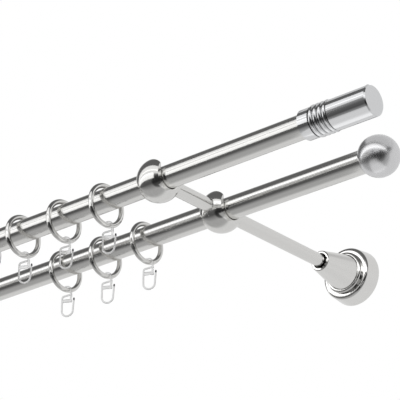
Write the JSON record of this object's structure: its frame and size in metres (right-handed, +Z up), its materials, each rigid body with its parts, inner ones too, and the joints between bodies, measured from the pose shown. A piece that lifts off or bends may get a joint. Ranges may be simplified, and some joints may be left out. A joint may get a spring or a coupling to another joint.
{
  "type": "double curtain pole",
  "caption": "Brushed metal double curtain pole: two tubes on ball brackets with round wall covers, cylinder and ball finials, and metal rings with clear plastic hooks.",
  "frame": {"origin": "on the wall plane, midway between the two brackets and level with their arms", "axes": "+X along the tubes to the right as seen from the room, +Y into the wall, +Z up"},
  "size_m": [1.2758, 0.2349, 0.0599],
  "materials": {
    "tube_steel": "brushed",
    "bracket_steel": "satin",
    "finial_steel": "satin",
    "plate_steel": "plain",
    "screw_steel": "plain",
    "ring_nickel": "polished",
    "clear_plastic": "clear"
  },
  "bodies": {
    "poles_and_brackets": {"front_tube": "tube_steel", "rear_tube": "tube_steel", "cylinder_finial_left": "finial_steel", "ball_finial_left": "finial_steel", "front_cradle_left": "bracket_steel", "rear_cradle_left": "bracket_steel", "front_rod_left": "bracket_steel", "rear_rod_left": "bracket_steel", "wall_plate_left": "plate_steel", "rosette_cover_left": "bracket_steel", "cylinder_finial_right": "finial_steel", "ball_finial_right": "finial_steel", "front_cradle_right": "bracket_steel", "rear_cradle_right": "bracket_steel", "front_rod_right": "bracket_steel", "rear_rod_right": "bracket_steel", "wall_plate_right": "plate_steel", "rosette_cover_right": "bracket_steel", "cradle_grub_screws": "screw_steel", "cover_grub_screws": "screw_steel", "cylinder_finial_grub_screws": "screw_steel", "ball_finial_grub_screws": "screw_steel"},
    "front_ring_1": {"front_ring_1": "ring_nickel"},
    "front_hook_1": {"front_hook_1": "clear_plastic"},
    "front_ring_2": {"front_ring_2": "ring_nickel"},
    "front_hook_2": {"front_hook_2": "clear_plastic"},
    "front_ring_3": {"front_ring_3": "ring_nickel"},
    "front_hook_3": {"front_hook_3": "clear_plastic"},
    "front_ring_4": {"front_ring_4": "ring_nickel"},
    "front_hook_4": {"front_hook_4": "clear_plastic"},
    "front_ring_5": {"front_ring_5": "ring_nickel"},
    "front_hook_5": {"front_hook_5": "clear_plastic"},
    "front_ring_6": {"front_ring_6": "ring_nickel"},
    "front_hook_6": {"front_hook_6": "clear_plastic"},
    "front_ring_7": {"front_ring_7": "ring_nickel"},
    "front_hook_7": {"front_hook_7": "clear_plastic"},
    "front_ring_8": {"front_ring_8": "ring_nickel"},
    "front_hook_8": {"front_hook_8": "clear_plastic"},
    "rear_ring_1": {"rear_ring_1": "ring_nickel"},
    "rear_hook_1": {"rear_hook_1": "clear_plastic"},
    "rear_ring_2": {"rear_ring_2": "ring_nickel"},
    "rear_hook_2": {"rear_hook_2": "clear_plastic"},
    "rear_ring_3": {"rear_ring_3": "ring_nickel"},
    "rear_hook_3": {"rear_hook_3": "clear_plastic"},
    "rear_ring_4": {"rear_ring_4": "ring_nickel"},
    "rear_hook_4": {"rear_hook_4": "clear_plastic"},
    "rear_ring_5": {"rear_ring_5": "ring_nickel"},
    "rear_hook_5": {"rear_hook_5": "clear_plastic"},
    "rear_ring_6": {"rear_ring_6": "ring_nickel"},
    "rear_hook_6": {"rear_hook_6": "clear_plastic"}
  },
  "joints": [
    {"name": "front_ring_1_slide", "type": "slide", "parent": "poles_and_brackets", "child": "front_ring_1", "axis": [1, 0, 0], "range_m": [-0.033, 0.014]},
    {"name": "front_hook_1_swing", "type": "hinge", "parent": "front_ring_1", "child": "front_hook_1", "pos_m": [-0.41768, -0.21704, -0.01796], "axis": [0.0605, 0.9884, 0.1392], "range_deg": [-80, 80]},
    {"name": "front_ring_2_slide", "type": "slide", "parent": "poles_and_brackets", "child": "front_ring_2", "axis": [1, 0, 0], "range_m": [-0.014, 0.014]},
    {"name": "front_hook_2_swing", "type": "hinge", "parent": "front_ring_2", "child": "front_hook_2", "pos_m": [-0.37818, -0.21704, -0.01796], "axis": [0.0605, 0.9884, 0.1392], "range_deg": [-80, 80]},
    {"name": "front_ring_3_slide", "type": "slide", "parent": "poles_and_brackets", "child": "front_ring_3", "axis": [1, 0, 0], "range_m": [-0.014, 0.014]},
    {"name": "front_hook_3_swing", "type": "hinge", "parent": "front_ring_3", "child": "front_hook_3", "pos_m": [-0.33868, -0.21704, -0.01796], "axis": [0.0605, 0.9884, 0.1392], "range_deg": [-80, 80]},
    {"name": "front_ring_4_slide", "type": "slide", "parent": "poles_and_brackets", "child": "front_ring_4", "axis": [1, 0, 0], "range_m": [-0.014, 0.29]},
    {"name": "front_hook_4_swing", "type": "hinge", "parent": "front_ring_4", "child": "front_hook_4", "pos_m": [-0.29918, -0.21704, -0.01796], "axis": [0.0605, 0.9884, 0.1392], "range_deg": [-80, 80]},
    {"name": "front_ring_5_slide", "type": "slide", "parent": "poles_and_brackets", "child": "front_ring_5", "axis": [1, 0, 0], "range_m": [-0.29, 0.014]},
    {"name": "front_hook_5_swing", "type": "hinge", "parent": "front_ring_5", "child": "front_hook_5", "pos_m": [0.29942, -0.21704, -0.01796], "axis": [0.0605, 0.9884, 0.1392], "range_deg": [-80, 80]},
    {"name": "front_ring_6_slide", "type": "slide", "parent": "poles_and_brackets", "child": "front_ring_6", "axis": [1, 0, 0], "range_m": [-0.014, 0.014]},
    {"name": "front_hook_6_swing", "type": "hinge", "parent": "front_ring_6", "child": "front_hook_6", "pos_m": [0.33892, -0.21704, -0.01796], "axis": [0.0605, 0.9884, 0.1392], "range_deg": [-80, 80]},
    {"name": "front_ring_7_slide", "type": "slide", "parent": "poles_and_brackets", "child": "front_ring_7", "axis": [1, 0, 0], "range_m": [-0.014, 0.014]},
    {"name": "front_hook_7_swing", "type": "hinge", "parent": "front_ring_7", "child": "front_hook_7", "pos_m": [0.37842, -0.21704, -0.01796], "axis": [0.0605, 0.9884, 0.1392], "range_deg": [-80, 80]},
    {"name": "front_ring_8_slide", "type": "slide", "parent": "poles_and_brackets", "child": "front_ring_8", "axis": [1, 0, 0], "range_m": [-0.014, 0.033]},
    {"name": "front_hook_8_swing", "type": "hinge", "parent": "front_ring_8", "child": "front_hook_8", "pos_m": [0.41792, -0.21704, -0.01796], "axis": [0.0605, 0.9884, 0.1392], "range_deg": [-80, 80]},
    {"name": "rear_ring_1_slide", "type": "slide", "parent": "poles_and_brackets", "child": "rear_ring_1", "axis": [1, 0, 0], "range_m": [-0.054, 0.014]},
    {"name": "rear_hook_1_swing", "type": "hinge", "parent": "rear_ring_1", "child": "rear_hook_1", "pos_m": [-0.39658, -0.15304, -0.01796], "axis": [0.0605, 0.9884, 0.1392], "range_deg": [-80, 80]},
    {"name": "rear_ring_2_slide", "type": "slide", "parent": "poles_and_brackets", "child": "rear_ring_2", "axis": [1, 0, 0], "range_m": [-0.014, 0.014]},
    {"name": "rear_hook_2_swing", "type": "hinge", "parent": "rear_ring_2", "child": "rear_hook_2", "pos_m": [-0.35708, -0.15304, -0.01796], "axis": [0.0605, 0.9884, 0.1392], "range_deg": [-80, 80]},
    {"name": "rear_ring_3_slide", "type": "slide", "parent": "poles_and_brackets", "child": "rear_ring_3", "axis": [1, 0, 0], "range_m": [-0.014, 0.31]},
    {"name": "rear_hook_3_swing", "type": "hinge", "parent": "rear_ring_3", "child": "rear_hook_3", "pos_m": [-0.31758, -0.15304, -0.01796], "axis": [0.0605, 0.9884, 0.1392], "range_deg": [-80, 80]},
    {"name": "rear_ring_4_slide", "type": "slide", "parent": "poles_and_brackets", "child": "rear_ring_4", "axis": [1, 0, 0], "range_m": [-0.31, 0.014]},
    {"name": "rear_hook_4_swing", "type": "hinge", "parent": "rear_ring_4", "child": "rear_hook_4", "pos_m": [0.31782, -0.15304, -0.01796], "axis": [0.0605, 0.9884, 0.1392], "range_deg": [-80, 80]},
    {"name": "rear_ring_5_slide", "type": "slide", "parent": "poles_and_brackets", "child": "rear_ring_5", "axis": [1, 0, 0], "range_m": [-0.014, 0.014]},
    {"name": "rear_hook_5_swing", "type": "hinge", "parent": "rear_ring_5", "child": "rear_hook_5", "pos_m": [0.35732, -0.15304, -0.01796], "axis": [0.0605, 0.9884, 0.1392], "range_deg": [-80, 80]},
    {"name": "rear_ring_6_slide", "type": "slide", "parent": "poles_and_brackets", "child": "rear_ring_6", "axis": [1, 0, 0], "range_m": [-0.014, 0.054]},
    {"name": "rear_hook_6_swing", "type": "hinge", "parent": "rear_ring_6", "child": "rear_hook_6", "pos_m": [0.39682, -0.15304, -0.01796], "axis": [0.0605, 0.9884, 0.1392], "range_deg": [-80, 80]}
  ]
}
